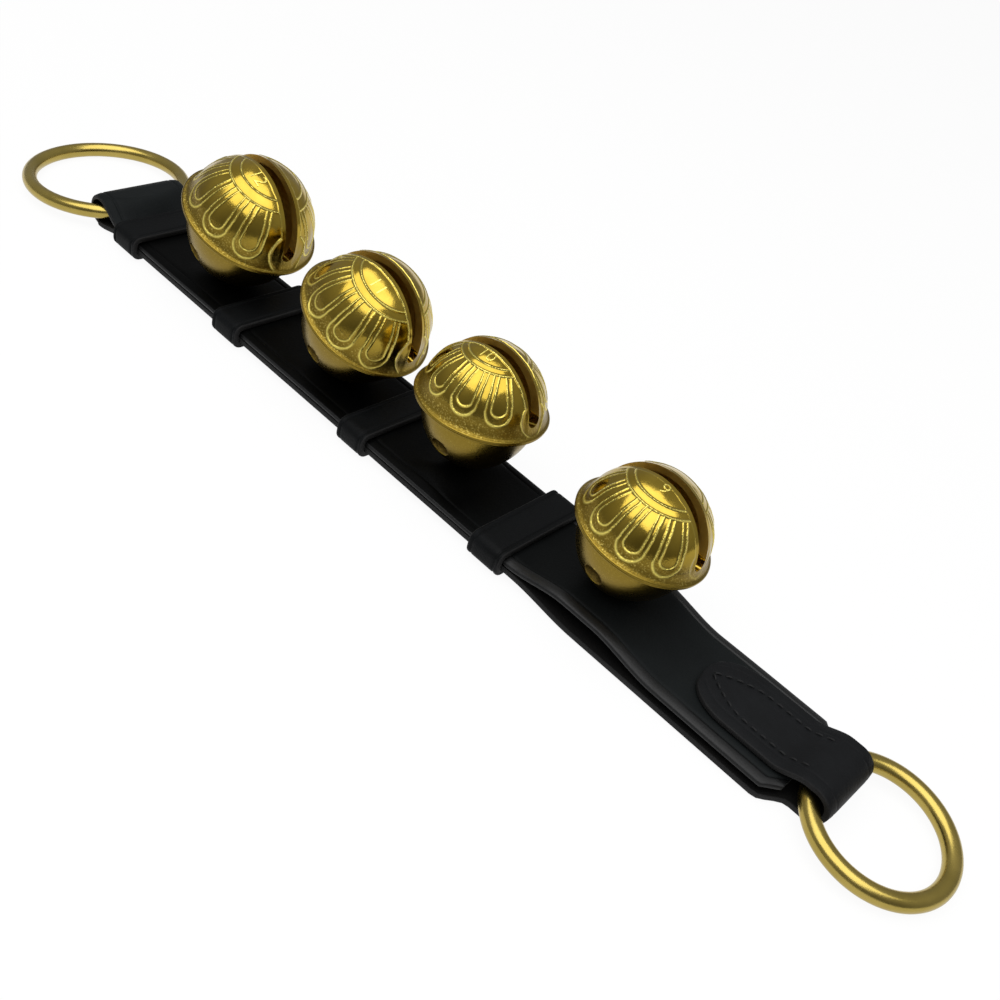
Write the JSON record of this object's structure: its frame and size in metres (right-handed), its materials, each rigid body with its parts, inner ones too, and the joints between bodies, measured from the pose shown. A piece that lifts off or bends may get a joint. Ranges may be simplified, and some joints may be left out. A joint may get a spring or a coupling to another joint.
{
  "type": "sleigh bell door hanger",
  "caption": "Black leather door hanger strap with graded cast brass petal bells, leather keepers and a brass ring at each end.",
  "frame": {"origin": "on the surface that the hanger lies on, under the middle of its length and width", "axes": "+X along the strap from the upper ring to the lower ring, +Y across the strap, +Z out of the face that carries the bells"},
  "size_m": [0.452, 0.0678, 0.058],
  "materials": {
    "strap_leather": "semi-gloss black bridle leather, creased edges",
    "keeper_leather": "matte black leather",
    "ring_brass": "satin solid brass",
    "bell_brass": "cast brass, burnished relief over a grainy ground",
    "iron": "dark iron",
    "thread": "waxed black thread"
  },
  "bodies": {
    "strap": {"strap": "strap_leather", "tab_stitch": "thread"},
    "upper_ring": {"upper_ring": "ring_brass"},
    "lower_ring": {"lower_ring": "ring_brass"},
    "keeper_1": {"keeper_1": "keeper_leather"},
    "keeper_2": {"keeper_2": "keeper_leather"},
    "keeper_3": {"keeper_3": "keeper_leather"},
    "keeper_4": {"keeper_4": "keeper_leather"},
    "bell_1": {"bell_1": "bell_brass", "pin_1": "iron"},
    "pellet_1": {"pellet_1": "iron"},
    "bell_2": {"bell_2": "bell_brass", "pin_2": "iron"},
    "pellet_2": {"pellet_2": "iron"},
    "bell_3": {"bell_3": "bell_brass", "pin_3": "iron"},
    "pellet_3": {"pellet_3": "iron"},
    "bell_4": {"bell_4": "bell_brass", "pin_4": "iron"},
    "pellet_4": {"pellet_4": "iron"}
  },
  "joints": [
    {"name": "upper_ring_swing", "type": "hinge", "parent": "strap", "child": "upper_ring", "pos_m": [-0.16454, 0, 0.0069], "axis": [0, 1, 0], "range_deg": [-18, 26]},
    {"name": "lower_ring_swing", "type": "hinge", "parent": "strap", "child": "lower_ring", "pos_m": [0.18156, 0, 0.0069], "axis": [0, -1, 0], "range_deg": [-26, 38]},
    {"name": "keeper_1_slide", "type": "slide", "parent": "strap", "child": "keeper_1", "axis": [1, 0, 0], "range_m": [-0.0003, 0.016]},
    {"name": "keeper_2_slide", "type": "slide", "parent": "strap", "child": "keeper_2", "axis": [1, 0, 0], "range_m": [-0.004, 0.018]},
    {"name": "keeper_3_slide", "type": "slide", "parent": "strap", "child": "keeper_3", "axis": [1, 0, 0], "range_m": [-0.008, 0.0115]},
    {"name": "keeper_4_slide", "type": "slide", "parent": "strap", "child": "keeper_4", "axis": [1, 0, 0], "range_m": [-0.012, 0.0025]},
    {"name": "bell_1_twist", "type": "hinge", "parent": "strap", "child": "bell_1", "pos_m": [-0.10031, 0.00286, 0.03373], "axis": [0.345, 0.1188, 0.9311], "range_deg": [-10, 10]},
    {"name": "pellet_1_roll", "type": "hinge", "parent": "bell_1", "child": "pellet_1", "pos_m": [-0.10031, 0.00286, 0.03373], "axis": [0, 1, 0], "range_deg": [-60, 60]},
    {"name": "bell_2_twist", "type": "hinge", "parent": "strap", "child": "bell_2", "pos_m": [-0.03111, 0.00222, 0.03249], "axis": [0.391, 0.1121, 0.9135], "range_deg": [-10, 10]},
    {"name": "pellet_2_roll", "type": "hinge", "parent": "bell_2", "child": "pellet_2", "pos_m": [-0.03111, 0.00222, 0.03249], "axis": [0, 1, 0], "range_deg": [-60, 60]},
    {"name": "bell_3_twist", "type": "hinge", "parent": "strap", "child": "bell_3", "pos_m": [0.02669, 0.00317, 0.03445], "axis": [0.0128, 0.0809, 0.9966], "range_deg": [-10, 10]},
    {"name": "pellet_3_roll", "type": "hinge", "parent": "bell_3", "child": "pellet_3", "pos_m": [0.02669, 0.00317, 0.03445], "axis": [0, 1, 0], "range_deg": [-60, 60]},
    {"name": "bell_4_twist", "type": "hinge", "parent": "strap", "child": "bell_4", "pos_m": [0.09849, 0.00217, 0.03456], "axis": [0.1333, 0.1243, 0.9833], "range_deg": [-10, 10]},
    {"name": "pellet_4_roll", "type": "hinge", "parent": "bell_4", "child": "pellet_4", "pos_m": [0.09849, 0.00217, 0.03456], "axis": [0, 1, 0], "range_deg": [-60, 60]}
  ]
}
